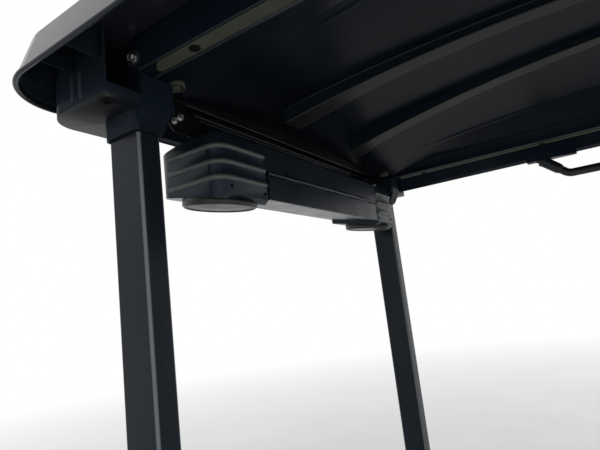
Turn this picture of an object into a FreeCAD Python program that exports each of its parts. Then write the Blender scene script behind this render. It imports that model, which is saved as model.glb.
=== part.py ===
import FreeCAD, Part
import math
import os
from FreeCAD import Vector

# A golf cart's canopy: a moulded roof on four rectangular struts, with an overhead
# console hung between the rear struts and a grab handle along each side.
# Millimetres. +X points to the front of the cart, +Y to its left, +Z up.
# The origin lies between the four feet, on the plane that they stand on.

# Roof moulding
roof_length = 1446.0
roof_width = 1204.0
roof_corner_radius = 86.0
lip_height = 1386.0
rim_height = 61.0
rim_lean = 21.5
roof_skin = 5.0

# Crown of the roof, given by the lining that is seen from the seats
ceiling_rise = 40.0
crown_length_radius = 3500.0
crown_width_radius = 3700.0
lining_thickness = 18.5
lining_clearance = 0.5
outer_length_radius = 9000.0
outer_width_radius = 7500.0
crown_end_inset = 83.0
crown_side_inset = 97.0
crown_block_radius = 100.0
crown_flank_slope = 0.58
crown_headroom = 5.0
crown_cut_depth = 90.0

# Side beams and ribs moulded into the lining
beam_inset = 114.5
beam_drop = 40.0
beam_bottom_width = 25.0
beam_slope_run = 105.5
beam_step_count = 2
beam_step_run = 4.5
beam_step_rise = 7.0
beam_step_first = 10.0
beam_tread_run = 10.5
beam_tread_rise = 3.0
beam_ridge_height = 0.6
rib_inner_middle = 72.0
rib_outer_middle = 109.0
rib_inner_taper = 0.079
rib_outer_taper = 0.107
rib_depth = 11.0
rib_length_radius = 2600.0
rib_end_gap = 60.0

# Cross beams, channels that are open below
cross_beam_width = 25.0
cross_beam_wall = 3.0
cross_beam_rise = 3.0

# Struts
strut_length = 64.0
strut_width = 38.0
strut_wall = 2.5
strut_corner_radius = 5.0
strut_inset = 142.0
rear_overhang = 106.0
front_overhang = 203.0
front_strut_rake = 145.0
strut_headroom = 4.0

# Corner bosses, cups that hold the struts and the ends of the side beams
boss_drop = 30.0
boss_wall = 4.0
boss_lip_height = 13.0
boss_beam_gap = 4.0
boss_outboard_reach = 81.0
boss_inboard_reach = 32.0
boss_outer_reach = 85.0
boss_inner_reach = 52.0
boss_corner_radius = 42.0
collar_depth = 30.0
collar_wall = 5.0
socket_clearance = 0.3
access_hole_radius = 7.0
access_hole_along = 25.0
access_hole_outboard = 59.0

# Feet
foot_length = 100.0
foot_width = 90.0
foot_thickness = 8.0
foot_corner_radius = 10.0
foot_hole_radius = 5.5
foot_hole_spacing_x = 80.0
foot_hole_spacing_y = 64.0

# Overhead console, placed from the rear struts' axes
console_front_reach = 69.0
console_rear_reach = 69.0
console_drop = 57.0
console_side_gap = 97.0
console_body_height = 96.5
console_wall = 4.0
console_bottom_slope = 0.2
end_length = 119.0
end_height = 107.0
end_front_radius = 25.0
end_rear_radius = 26.0
end_chamfer_drop = 10.0
end_chamfer_run = 54.0
end_bevel = 9.0
end_rib_count = 3
end_rib_first = 21.0
end_rib_pitch = 25.5
end_rib_radius = 4.0
end_rib_stop = 6.0
end_cut_margin = 6.0

# Console door and its hinge
door_clearance = 5.0
door_thickness = 4.0
hinge_drop = 48.0
hinge_barrel_radius = 3.5
hinge_pin_radius = 1.5
hinge_pin_clearance = 0.05
knuckle_count = 9
knuckle_gap = 0.6

# Speaker pods under the console's ends
pod_radius = 62.5
pod_wall_height = 9.0
pod_dome_height = 3.0
pod_forward = 10.0
pod_slope = 0.13
pod_seat_margin = 10.0

# Hangers that carry the console
hanger_plate = 4.0
hanger_top_width = 59.0
hanger_foot_inset = 5.0
hanger_foot_width = 81.0
hanger_foot_reach = 38.0

# Grab handles
handle_radius = 11.0
handle_bend_radius = 28.0
handle_inset = 43.0
handle_centre_x = 20.0
handle_top_half_span = 204.5
handle_grip_half_span = 123.0
handle_grip_drop = 64.0
handle_end_rise = 6.0
mount_before_end = 109.5
mount_past_end = 14.0
mount_width = 28.0
mount_drop = 14.0

# Places of the roof and its beams
half_length = roof_length / 2
half_width = roof_width / 2
shelf_top = lip_height + rim_height
shelf_bottom = shelf_top - roof_skin
rim_slope = rim_lean / rim_height
ceiling_top = shelf_bottom + ceiling_rise
roof_top = ceiling_top + lining_thickness + lining_clearance + roof_skin
crown_floor = lip_height - crown_cut_depth
beam_bottom = shelf_bottom - beam_drop
beam_outboard = half_width - beam_inset

# Places of the struts and bosses
strut_y = half_width - strut_inset
rear_strut_x = rear_overhang - half_length
front_strut_top_x = half_length - front_overhang
front_strut_foot_x = front_strut_top_x + front_strut_rake
strut_top = beam_bottom - strut_headroom
boss_bottom = lip_height - boss_drop
boss_outboard = strut_y + boss_outboard_reach
boss_inboard = strut_y - boss_inboard_reach
collar_bottom = boss_bottom - collar_depth
cross_beam_bottom = beam_bottom + cross_beam_rise

# Places of the console and the handles
console_x0 = rear_strut_x - console_rear_reach
console_x1 = rear_strut_x + console_front_reach
console_top = beam_bottom - console_drop
console_half_width = strut_y - console_side_gap
body_half_width = console_half_width - end_length
body_front_bottom = console_top - console_body_height
end_front_bottom = console_top - end_height
hinge_height = console_top - hinge_drop
handle_y = half_width - handle_inset

SIDES = (("left", 1), ("right", -1))
ENDS = (("rear", rear_strut_x, rear_strut_x, -1), ("front", front_strut_top_x, front_strut_foot_x, 1))


def save(shape, name):
    shape = shape.removeSplitter()
    shape.exportStep(f"parts/{name}.step")


def box(x0, x1, y0, y1, z0, z1):
    low = Vector(min(x0, x1), min(y0, y1), min(z0, z1))
    return Part.makeBox(abs(x1 - x0), abs(y1 - y0), abs(z1 - z0), low)


def rounded_outline(x0, x1, y0, y1, z, radii):
    """Closed wire round a rectangle; radii go with the corners x0y0, x1y0, x1y1, x0y1."""
    corners = ((x0, y0, 180.0), (x1, y0, 270.0), (x1, y1, 0.0), (x0, y1, 90.0))
    inward = ((1, 1), (-1, 1), (-1, -1), (1, -1))
    edges = []
    ends = []
    for (x, y, start), (sx, sy), radius in zip(corners, inward, radii):
        if radius > 0:
            centre = Vector(x + sx * radius, y + sy * radius, z)
            arc = Part.makeCircle(radius, centre, Vector(0, 0, 1), start, start + 90.0)
            edges.append(arc)
            ends.append((arc.valueAt(arc.FirstParameter), arc.valueAt(arc.LastParameter)))
        else:
            edges.append(None)
            ends.append((Vector(x, y, z), Vector(x, y, z)))
    loop = []
    for index, edge in enumerate(edges):
        if edge is not None:
            loop.append(edge)
        loop.append(Part.makeLine(ends[index][1], ends[(index + 1) % 4][0]))
    return Part.Wire(loop)


def prism(wire, vector):
    return Part.Face(wire).extrude(vector)


def profile_along_x(points, x0, x1):
    """Solid from (y, z) points, run from x0 to x1."""
    corners = [Vector(x0, y, z) for y, z in points]
    return prism(Part.makePolygon(corners + corners[:1]), Vector(x1 - x0, 0, 0))


def profile_along_y(points, y0, y1):
    """Solid from (x, z) points, run from y0 to y1."""
    corners = [Vector(x, y0, z) for x, z in points]
    return prism(Part.makePolygon(corners + corners[:1]), Vector(0, y1 - y0, 0))


def round_bar(points, bend_radius, radius):
    """Round bar along straight runs between points, with a bend at every inner point."""
    pieces = []
    start = points[0]
    for before, corner, after in zip(points, points[1:], points[2:]):
        incoming = (corner - before).normalize()
        outgoing = (after - corner).normalize()
        turn = incoming.getAngle(outgoing)
        axis = incoming.cross(outgoing).normalize()
        bend_start = corner - incoming * (bend_radius * math.tan(turn / 2))
        centre = bend_start + axis.cross(incoming) * bend_radius
        pieces.append(Part.makeCylinder(radius, (bend_start - start).Length, start, incoming))
        disc = Part.Face(Part.Wire([Part.makeCircle(radius, bend_start, incoming)]))
        pieces.append(disc.revolve(centre, axis, math.degrees(turn)))
        start = corner + outgoing * (bend_radius * math.tan(turn / 2))
    last = points[-1] - start
    pieces.append(Part.makeCylinder(radius, last.Length, start, last))
    return pieces[0].fuse(pieces[1:])


def frustum(length, width, radius, z0, z1, slope):
    """Block on a rounded rectangle that leans in by slope for each unit of height."""
    wires = []
    for z, inset in ((z0, 0.0), (z1, (z1 - z0) * slope)):
        half_x = length / 2 - inset
        half_y = width / 2 - inset
        wires.append(rounded_outline(-half_x, half_x, -half_y, half_y, z, (radius - inset,) * 4))
    return Part.makeLoft(wires, True, True)


def under_crown(top, length_radius, width_radius):
    """Everything under a surface crowned both ways, whose highest point is at top."""
    drop = length_radius - math.sqrt(length_radius * length_radius - half_length * half_length)
    start = Vector(-half_length, 0, top - drop)
    end = Vector(half_length, 0, top - drop)
    arc = Part.Arc(start, Vector(0, 0, top), end).toShape()
    floor_end = Vector(half_length, 0, crown_floor)
    floor_start = Vector(-half_length, 0, crown_floor)
    sides = [Part.makeLine(end, floor_end), Part.makeLine(floor_end, floor_start), Part.makeLine(floor_start, start)]
    face = Part.Face(Part.Wire([arc] + sides))
    pivot = Vector(0, 0, top - width_radius)
    half_sweep = math.degrees(math.asin(half_width / width_radius))
    face.rotate(pivot, Vector(1, 0, 0), -half_sweep)
    return face.revolve(pivot, Vector(1, 0, 0), 2 * half_sweep)


def crown_block(inset, depth, z0):
    """Raised middle of the roof, inset from its outer flanks and depth below its top."""
    block = frustum(
        roof_length - 2 * (crown_end_inset + inset),
        roof_width - 2 * (crown_side_inset + inset),
        crown_block_radius - inset,
        z0,
        roof_top + crown_headroom,
        crown_flank_slope,
    )
    return block.common(under_crown(roof_top - depth, outer_length_radius - depth, outer_width_radius - depth))


def rim_block(inset, z0, z1):
    """Block inside the leaning rim, from z0 to z1."""
    start = inset + (z0 - lip_height) * rim_slope
    return frustum(
        roof_length - 2 * start,
        roof_width - 2 * start,
        roof_corner_radius - start,
        z0,
        z1,
        rim_slope,
    )


def rim_wall(clearance):
    """The leaning rim, made thicker inward by clearance."""
    return rim_block(0.0, lip_height, shelf_top).cut(rim_block(roof_skin + clearance, lip_height, shelf_top))


def roof_shell():
    outer = rim_block(0.0, lip_height, shelf_top).fuse(crown_block(0.0, 0.0, shelf_bottom))
    tray = rim_block(roof_skin, lip_height, shelf_bottom)
    hollow = crown_block(roof_skin, roof_skin, shelf_bottom)
    return outer.cut(tray.fuse(hollow))


def lining_envelope():
    """Room inside the roof that the lining may fill."""
    low_top = shelf_bottom - lining_clearance
    low = box(-half_length, half_length, -beam_outboard, beam_outboard, crown_floor, low_top)
    skin_room = roof_skin + lining_clearance
    high = crown_block(skin_room, skin_room, low_top)
    return low.fuse(high)


def beam_steps():
    """Points (y, z) down the inner side of a side beam, from its foot over its steps."""
    y = beam_outboard - beam_bottom_width
    points = [(y, beam_bottom)]
    z = beam_bottom + beam_step_first
    for _ in range(beam_step_count):
        y -= beam_step_run
        points.append((y, z))
        y -= beam_tread_run
        z += beam_tread_rise
        points.append((y, z))
        z += beam_step_rise
    points.append((y - beam_step_run, z))
    return points


def side_beam(side, x0, x1):
    """Side beam with its stepped foot and the slope that runs up to the crowned ceiling."""
    top = ceiling_top + lining_thickness
    steps = beam_steps()
    step_y, step_z = steps[-1]
    section = [(beam_outboard, beam_bottom)] + steps + [(step_y, top), (beam_outboard, top)]
    foot_part = profile_along_x([(side * y, z) for y, z in section], x0, x1)
    ridge_y = beam_outboard - beam_bottom_width - beam_slope_run
    width_drop = crown_width_radius - math.sqrt(crown_width_radius ** 2 - ridge_y ** 2)
    ridge_top = ceiling_top + beam_ridge_height - width_drop
    low = [Vector(x, side * step_y, z) for x, z in ((x0, step_z), (x1, step_z), (x1, top), (x0, top))]
    ridge = []
    for x in (x0, 0.0, x1):
        drop = crown_length_radius - math.sqrt(crown_length_radius ** 2 - x * x)
        ridge.append(Vector(x, side * ridge_y, ridge_top - drop))
    high = [Vector(x, side * ridge_y, top) for x in (x1, x0)]
    ridge_edges = [
        Part.Arc(*ridge).toShape(),
        Part.makeLine(ridge[2], high[0]),
        Part.makeLine(high[0], high[1]),
        Part.makeLine(high[1], ridge[0]),
    ]
    slope_part = Part.makeLoft([Part.makePolygon(low + low[:1]), Part.Wire(ridge_edges)], True, True)
    return foot_part.fuse(slope_part)


def ceiling_rib(side, x0, x1):
    """Long rib of the lining in plan, wider apart and broader to the rear."""
    corners = []
    for x, middle, taper in (
        (x0, rib_inner_middle, rib_inner_taper),
        (x1, rib_inner_middle, rib_inner_taper),
        (x1, rib_outer_middle, rib_outer_taper),
        (x0, rib_outer_middle, rib_outer_taper),
    ):
        corners.append(Vector(x, side * (middle - taper * x), crown_floor))
    return prism(Part.makePolygon(corners + corners[:1]), Vector(0, 0, ceiling_top - crown_floor))


def beam_tongue(side, end, top_x, z0, z1):
    """Outboard part of a side beam, run on past the cross beam into the boss's cup."""
    x0 = top_x - end * cross_beam_width / 2
    x1 = top_x + end * (boss_outer_reach - boss_wall - boss_beam_gap)
    return box(x0, x1, side * boss_inboard, side * beam_outboard, z0, z1)


def roof_lining():
    rear = rear_strut_x + cross_beam_width / 2
    front = front_strut_top_x - cross_beam_width / 2
    top = ceiling_top + lining_thickness
    headroom = under_crown(ceiling_top, crown_length_radius, crown_width_radius)
    panel = box(rear, front, -beam_outboard, beam_outboard, beam_bottom, top).cut(headroom)
    rib_room = headroom.cut(under_crown(ceiling_top - rib_depth, rib_length_radius, crown_width_radius))
    pieces = []
    for _, side in SIDES:
        pieces.append(side_beam(side, rear, front))
        rib = ceiling_rib(side, rear + rib_end_gap, front - rib_end_gap)
        pieces.append(rib.common(rib_room))
        for _, top_x, _, end in ENDS:
            pieces.append(beam_tongue(side, end, top_x, beam_bottom, top))
    return panel.fuse(pieces).common(lining_envelope())


def cross_beam(x):
    half = cross_beam_width / 2
    web = half - cross_beam_wall
    beam = box(x - half, x + half, -boss_inboard, boss_inboard, cross_beam_bottom, shelf_bottom)
    room_top = shelf_bottom - cross_beam_wall
    return beam.cut(box(x - web, x + web, -boss_inboard, boss_inboard, cross_beam_bottom, room_top))


def strut_shift(end_top_x, end_foot_x, z):
    """X of a strut's axis at height z."""
    share = (strut_top - z) / (strut_top - foot_thickness)
    return end_top_x + (end_foot_x - end_top_x) * share


def strut_block(top_x, foot_x, y, grow, z0, z1, radius):
    """Sheared block along a strut's axis, its section grown by grow on every side."""
    half_x = strut_length / 2 + grow
    half_y = strut_width / 2 + grow
    x = strut_shift(top_x, foot_x, z0)
    outline = rounded_outline(x - half_x, x + half_x, y - half_y, y + half_y, z0, (radius,) * 4)
    return prism(outline, Vector(strut_shift(top_x, foot_x, z1) - x, 0, z1 - z0))


def strut(top_x, foot_x, y):
    outer = strut_block(top_x, foot_x, y, 0.0, foot_thickness, strut_top, strut_corner_radius)
    inner_radius = strut_corner_radius - strut_wall
    inner = strut_block(top_x, foot_x, y, -strut_wall, foot_thickness, strut_top, inner_radius)
    return outer.cut(inner)


def foot(x, y):
    half_x = foot_length / 2
    half_y = foot_width / 2
    outline = rounded_outline(x - half_x, x + half_x, y - half_y, y + half_y, 0, (foot_corner_radius,) * 4)
    plate = prism(outline, Vector(0, 0, foot_thickness))
    for sx in (-0.5, 0.5):
        for sy in (-0.5, 0.5):
            hole_at = Vector(x + sx * foot_hole_spacing_x, y + sy * foot_hole_spacing_y, 0)
            plate = plate.cut(Part.makeCylinder(foot_hole_radius, foot_thickness, hole_at))
    return plate


def boss_cup(top_x, end, side, inset, z0, z1):
    """Block on the cup's outline, inset from its walls; end is -1 at the rear, 1 in front."""
    outer_x = top_x + end * (boss_outer_reach - inset)
    inner_x = top_x - end * (boss_inner_reach - inset)
    outboard_y = side * (boss_outboard - inset)
    inboard_y = side * (boss_inboard + inset)
    radii = []
    for x_end, y_side in ((-1, -1), (1, -1), (1, 1), (-1, 1)):
        radii.append(boss_corner_radius - inset if (x_end, y_side) == (end, side) else 0.0)
    x0, x1 = sorted((outer_x, inner_x))
    y0, y1 = sorted((outboard_y, inboard_y))
    return prism(rounded_outline(x0, x1, y0, y1, z0, radii), Vector(0, 0, z1 - z0))


def corner_boss(top_x, foot_x, end, side):
    """Cup under the roof's corner with the strut's socket, open to the channel in front of it."""
    cup = boss_cup(top_x, end, side, 0.0, boss_bottom, shelf_bottom)
    cup = cup.cut(boss_cup(top_x, end, side, boss_wall, boss_bottom + boss_wall, shelf_bottom))
    lip_top = boss_bottom + boss_lip_height
    inner_x = top_x - end * boss_inner_reach
    wall_x = inner_x + end * boss_wall
    mouth_y = side * (boss_outboard - boss_wall)
    cup = cup.cut(box(inner_x, wall_x, side * boss_inboard, mouth_y, lip_top, shelf_bottom))
    cup = cup.cut(box(inner_x, top_x + end * boss_outer_reach, 0, side * beam_outboard, beam_bottom, shelf_bottom))
    cup = cup.cut(rim_wall(lining_clearance))
    y = side * strut_y
    collar = strut_block(top_x, foot_x, y, collar_wall, collar_bottom, beam_bottom, strut_corner_radius + collar_wall)
    socket_top = strut_top + socket_clearance
    socket_radius = strut_corner_radius + socket_clearance
    socket = strut_block(top_x, foot_x, y, socket_clearance, collar_bottom, socket_top, socket_radius)
    hole_at = Vector(top_x - end * access_hole_along, side * (strut_y + access_hole_outboard), boss_bottom)
    hole = Part.makeCylinder(access_hole_radius, boss_wall, hole_at)
    return cup.fuse(collar).cut(socket).cut(hole)


def console_section(front_bottom, inset):
    """Side outline (x, z) of the console with walls of the given inset."""
    depth = console_x1 - console_x0
    rise = inset * math.sqrt(1 + console_bottom_slope ** 2)
    return [
        (console_x1 - inset, front_bottom + rise + inset * console_bottom_slope),
        (console_x1 - inset, console_top - inset),
        (console_x0 + inset, console_top - inset),
        (console_x0 + inset, front_bottom + rise + (depth - inset) * console_bottom_slope),
    ]


def console_end(side):
    """End of the console: a rounded drum with raised ribs round its corner."""
    y0, y1 = sorted((side * body_half_width, side * console_half_width))
    radii = (0.0, 0.0, end_front_radius, end_rear_radius)
    if side < 0:
        radii = radii[::-1]
    floor = end_front_bottom - end_cut_margin
    outline = rounded_outline(console_x0, console_x1, y0, y1, floor, radii)
    drum = prism(outline, Vector(0, 0, console_top - floor))
    slope_cut = [
        (console_x1, floor),
        (console_x1, end_front_bottom),
        (console_x0, end_front_bottom + (console_x1 - console_x0) * console_bottom_slope),
        (console_x0, floor),
    ]
    chamfer_cut = [
        (console_x0, console_top - end_chamfer_drop),
        (console_x0, console_top),
        (console_x0 + end_chamfer_run, console_top),
    ]
    bevel_cut = [
        (console_x1, floor),
        (console_x1, end_front_bottom + end_bevel),
        (console_x1 - end_bevel, end_front_bottom + end_bevel * console_bottom_slope),
        (console_x1 - end_bevel, floor),
    ]
    for points in (slope_cut, chamfer_cut, bevel_cut):
        drum = drum.cut(profile_along_y(points, y0, y1))
    ribs = []
    for index in range(end_rib_count):
        ribs.append(end_rib(side, console_top - end_rib_first - index * end_rib_pitch))
    return drum.fuse(ribs)


def end_rib(side, level):
    """Half-round rib from the rear edge round the front corner to its rounded end."""
    start = Vector(console_x0 + end_rear_radius, side * console_half_width, level)
    corner = Vector(console_x1, side * console_half_width, level)
    stop = Vector(console_x1, side * (body_half_width + end_rib_stop), level)
    bar = round_bar([start, corner, stop], end_front_radius, end_rib_radius)
    return bar.fuse(Part.makeSphere(end_rib_radius, stop))


def knuckle(index, leaf_z):
    """Barrel of the hinge with the leaf that joins it to the plate above or below."""
    half = body_half_width - door_clearance
    pitch = 2 * half / knuckle_count
    y0 = index * pitch - half + knuckle_gap / 2
    length = pitch - knuckle_gap
    start = Vector(console_x1, y0, hinge_height)
    barrel = Part.makeCylinder(hinge_barrel_radius, length, start, Vector(0, 1, 0))
    leaf = box(console_x1 - door_thickness, console_x1, y0, y0 + length, hinge_height, leaf_z)
    bore = Part.makeCylinder(hinge_pin_radius + hinge_pin_clearance, length, start, Vector(0, 1, 0))
    return barrel.fuse(leaf).cut(bore)


def console_body():
    """Open-fronted trough between the ends, with the hinge's fixed knuckles over its mouth."""
    half = body_half_width
    outer = profile_along_y(console_section(body_front_bottom, 0.0), -half, half)
    room = profile_along_y(console_section(body_front_bottom, console_wall), -half + console_wall, half - console_wall)
    mouth_top = hinge_height + door_clearance
    mouth_rear = console_x1 - door_thickness - door_clearance
    mouth = box(mouth_rear, console_x1, -half, half, body_front_bottom, mouth_top)
    body = outer.cut(room).cut(mouth)
    return body.fuse([knuckle(index, mouth_top) for index in range(0, knuckle_count, 2)])


def console_door():
    half = body_half_width - door_clearance
    top = hinge_height - door_clearance
    door = box(console_x1 - door_thickness, console_x1, -half, half, body_front_bottom, top)
    return door.fuse([knuckle(index, top) for index in range(1, knuckle_count, 2)])


def hinge_pin():
    half = body_half_width - door_clearance
    return Part.makeCylinder(hinge_pin_radius, 2 * half, Vector(console_x1, -half, hinge_height), Vector(0, 1, 0))


def speaker_pod(side):
    """Round housing, less tilted than the console end's underside that cuts it off above."""
    dome_radius = (pod_radius ** 2 + pod_dome_height ** 2) / (2 * pod_dome_height)
    half_turn = math.asin(pod_radius / dome_radius) / 2
    rim = Vector(pod_radius, 0, 0)
    low = Vector(0, 0, -pod_dome_height)
    dome_centre = low + Vector(0, 0, dome_radius)
    middle = dome_centre + Vector(math.sin(half_turn), 0, -math.cos(half_turn)) * dome_radius
    height = 2 * pod_wall_height + pod_seat_margin
    edges = [
        Part.makeLine(Vector(0, 0, height), Vector(pod_radius, 0, height)),
        Part.makeLine(Vector(pod_radius, 0, height), rim),
        Part.Arc(rim, middle, low).toShape(),
        Part.makeLine(low, Vector(0, 0, height)),
    ]
    pod = Part.Face(Part.Wire(edges)).revolve(Vector(0, 0, 0), Vector(0, 0, 1), 360)
    pod.rotate(Vector(0, 0, 0), Vector(0, 1, 0), math.degrees(math.atan(pod_slope)))
    seat_z = end_front_bottom + (console_front_reach - pod_forward) * console_bottom_slope
    middle_y = side * (body_half_width + end_length / 2)
    pod.translate(Vector(rear_strut_x + pod_forward, middle_y, seat_z - pod_wall_height))
    above = end_front_bottom + height
    run = console_x1 - console_x0
    seat = [
        (console_x1 + run, end_front_bottom - run * console_bottom_slope),
        (console_x0, end_front_bottom + run * console_bottom_slope),
        (console_x0, above + run),
        (console_x1 + run, above + run),
    ]
    y0, y1 = middle_y - 2 * pod_radius, middle_y + 2 * pod_radius
    return pod.cut(profile_along_y(seat, y0, y1))


def console_hanger(side):
    """Bent plate: a flange under the rear beam, a slanted web and a foot on the console."""
    x1 = rear_strut_x + cross_beam_width / 2
    x0 = x1 - hanger_plate
    top_inner = boss_inboard - hanger_top_width
    foot_outer = console_half_width - hanger_foot_inset
    foot_inner = foot_outer - hanger_foot_width
    web = [
        (side * boss_inboard, cross_beam_bottom),
        (side * top_inner, cross_beam_bottom),
        (side * foot_inner, console_top),
        (side * foot_outer, console_top),
    ]
    plate = profile_along_x(web, x0, x1)
    flange_rear = x1 - cross_beam_width
    flange_low = cross_beam_bottom - hanger_plate
    flange = box(flange_rear, x1, side * boss_inboard, side * top_inner, flange_low, cross_beam_bottom)
    foot_front = x0 + hanger_foot_reach
    tread = box(x0, foot_front, side * foot_outer, side * foot_inner, console_top, console_top + hanger_plate)
    return plate.fuse([flange, tread])


def handle_bar(y, radius):
    """Two slanted legs and a straight grip between them."""
    points = []
    for end in (-1, 1):
        leg_end = Vector(handle_centre_x + end * handle_top_half_span, y, lip_height + handle_end_rise)
        corner = Vector(handle_centre_x + end * handle_grip_half_span, y, lip_height - handle_grip_drop)
        points += [leg_end, corner][::-end]
    return round_bar(points, handle_bend_radius, radius)


def handle_mount(y, end):
    """Block inside the roof's channel that a handle's end is let into."""
    bar_end = handle_centre_x + end * handle_top_half_span
    x0, x1 = sorted((bar_end - end * mount_before_end, bar_end + end * mount_past_end))
    half_block = mount_width / 2
    block = box(x0, x1, y - half_block, y + half_block, lip_height - mount_drop, shelf_bottom)
    return block.cut(handle_bar(y, handle_radius + socket_clearance))


def main():
    os.makedirs("parts", exist_ok=True)
    save(roof_shell(), "roof_shell")
    save(roof_lining(), "roof_lining")
    for end_name, top_x, foot_x, end in ENDS:
        save(cross_beam(top_x), f"{end_name}_cross_beam")
        for side_name, side in SIDES:
            y = side * strut_y
            save(strut(top_x, foot_x, y), f"{end_name}_strut_{side_name}")
            save(foot(foot_x, y), f"{end_name}_foot_{side_name}")
            save(corner_boss(top_x, foot_x, end, side), f"{end_name}_corner_boss_{side_name}")
    save(console_body(), "console_body")
    save(console_door(), "console_door")
    save(hinge_pin(), "console_hinge_pin")
    for side_name, side in SIDES:
        save(console_end(side), f"console_end_{side_name}")
        save(speaker_pod(side), f"speaker_pod_{side_name}")
        save(console_hanger(side), f"console_hanger_{side_name}")
        y = side * handle_y
        save(handle_bar(y, handle_radius), f"grab_handle_{side_name}")
        for end_name, end in (("rear", -1), ("front", 1)):
            save(handle_mount(y, end), f"handle_mount_{end_name}_{side_name}")


main()
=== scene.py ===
import bpy
import bmesh
import math
from mathutils import Matrix, Vector


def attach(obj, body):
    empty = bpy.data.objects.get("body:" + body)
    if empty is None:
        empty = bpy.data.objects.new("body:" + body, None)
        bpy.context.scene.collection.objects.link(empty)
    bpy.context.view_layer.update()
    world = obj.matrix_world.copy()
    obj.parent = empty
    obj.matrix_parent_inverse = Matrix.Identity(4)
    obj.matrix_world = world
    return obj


# A golf cart's canopy seen from under its right edge: gloss black roof and struts,
# satin black console, black coated handles and zinc plated bolts.
# Metres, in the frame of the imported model.

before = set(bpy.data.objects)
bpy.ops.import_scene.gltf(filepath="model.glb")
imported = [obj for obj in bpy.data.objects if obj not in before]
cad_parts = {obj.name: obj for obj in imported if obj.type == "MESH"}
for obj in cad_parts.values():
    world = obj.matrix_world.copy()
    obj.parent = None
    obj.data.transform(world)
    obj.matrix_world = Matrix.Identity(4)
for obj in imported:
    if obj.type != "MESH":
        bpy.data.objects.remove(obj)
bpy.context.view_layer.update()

SIDES = (("left", 1), ("right", -1))
ENDS = (("rear", -1), ("front", 1))

# Camera
CAMERA_AT = Vector((-0.1092, -0.8608, 1.0800))
CAMERA_YAW = math.radians(121.7606)
CAMERA_PITCH = math.radians(8.8291)
CAMERA_ROLL = math.radians(6.8165)
FOCAL_PIXELS = 445.587
PHOTO_WIDTH = 600
SENSOR_WIDTH = 36.0

# Roof and its rim
HALF_LENGTH = 0.723
HALF_WIDTH = 0.602
CORNER_RADIUS = 0.086
LIP_Z = 1.386
SHELF_BOTTOM = 1.442
SHELF_TOP = 1.447
RIM_SLOPE = 0.3525
ROOF_SKIN = 0.005
RIM_STEPS = 16
LIP_BEAD = 0.0030
TOP_EDGE_BEAD = 0.0042
RAIN_BEAD = 0.0035
RAIN_BEAD_INSET = 0.046
RAIN_BEAD_CORNER = 0.055
UNDERCOAT_LOW = 0.0060
UNDERCOAT_DEPTH = 0.0010

# Ceiling, its ribs and its crease
CEILING_TOP = 1.482
CROWN_LENGTH_RADIUS = 3.5
CROWN_WIDTH_RADIUS = 3.7
RIB_DEPTH = 0.011
RIB_LENGTH_RADIUS = 2.6
RIB_END_GAP = 0.060
RIB_INNER_Y = 0.072
RIB_INNER_SPLAY = 0.079
RIB_OUTER_Y = 0.109
RIB_OUTER_SPLAY = 0.107
CAP_OVERHANG = 0.0008
CAP_THICKNESS = 0.0014
CREASE_Y = 0.340
CREASE_ENDS = (-0.515, 0.420)
CREASE_FADE = 0.180

# Beams
BEAM_OUTBOARD = 0.4875
BEAM_WIDTH = 0.025
BEAM_INBOARD = BEAM_OUTBOARD - BEAM_WIDTH
BEAM_BOTTOM = 1.402
BEAM_LINE_LEVELS = (1.4312, 1.4150)
BEAM_LINE_ENDS = (-0.5540, 0.4560)
BEAM_JOINTS_X = (-0.437, 0.340)
CROSS_BEAM_BOTTOM = 1.405
CROSS_BEAM_WIDTH = 0.025
STRIP_FRONT = 0.4360
STRIP_REAR_INNER = -0.5570
STRIP_REAR_OUTER = -0.5310
STRIP_MARGIN = 0.0018
STRIP_SEATS_X = (-0.472, -0.150, 0.150, 0.375)

# Struts
STRUT_Y = 0.460
STRUT_TOP_X = {"rear": -0.617, "front": 0.520}
STRUT_FOOT_X = {"rear": -0.617, "front": 0.665}
STRUT_TOP = 1.398
STRUT_HALF_LENGTH = 0.032
STRUT_HALF_WIDTH = 0.019
STRUT_CORNER = 0.005
FOOT_TOP = 0.008
WELD_SIZE = 0.0042
WELD_RIPPLE = 0.0005
WELD_STEP = 0.0022

# Bosses: places named ALONG run from the strut's axis towards the nearer end of the roof
BOSS_BOTTOM = 1.356
BOSS_OUTBOARD = 0.541
BOSS_INBOARD = 0.4288
BOSS_OUTER_REACH = 0.085
BOSS_INNER_REACH = 0.052
BOSS_CORNER = 0.042
BOSS_LIP = 0.0125
BOSS_FLUTES = (0.015, -0.003)
COLLAR_BOTTOM = 1.326
COLLAR_FRONT = 0.0379
SHROUD_BACK = 0.0360
WEB_BOTTOM = 1.400
WEB_TOP = 1.4418
WEBS_ALONG = (-0.046, 0.008)
WEB_THICKNESS = 0.0025
ACCESS_ALONG = -0.025
ACCESS_Y = 0.519
PLUG_ALONG = -0.039
PLUG_Y = 0.4122
BOLT_ALONG = -0.044
BOLT_Z = 1.422

# Console
CONSOLE_FRONT = -0.548
CONSOLE_REAR = -0.686
CONSOLE_TOP = 1.345
CONSOLE_HALF_WIDTH = 0.363
CONSOLE_CORNER = 0.025
CONSOLE_REAR_CORNER = 0.026
CONSOLE_RIB_LEVELS = (1.324, 1.2985, 1.273)
CONSOLE_RIB_END = 0.250
CONSOLE_RIB_RADIUS = 0.004
CONSOLE_RIB_COVER = 0.0004
CONSOLE_SCREWS = ((0.338, 1.2595), (0.2515, 1.2565))
HANGER_FRONT = -0.6045
HANGER_PLATE = 0.003
HANGER_BOLTS = ((0.3965, 1.3675), (0.3836, 1.3760))
HANGER_TOP_BOLTS_Y = (0.389, 0.412)
HANGER_FOOT_BOLTS_Y = (0.300, 0.335)
HANGER_TOP_BOLTS_X = -0.6190
HANGER_FOOT_BOLTS_X = -0.5860
FLANGE = 0.004
POD_AT = Vector((-0.607, 0.3035, 1.2408))
POD_SLOPE = 0.13

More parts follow.
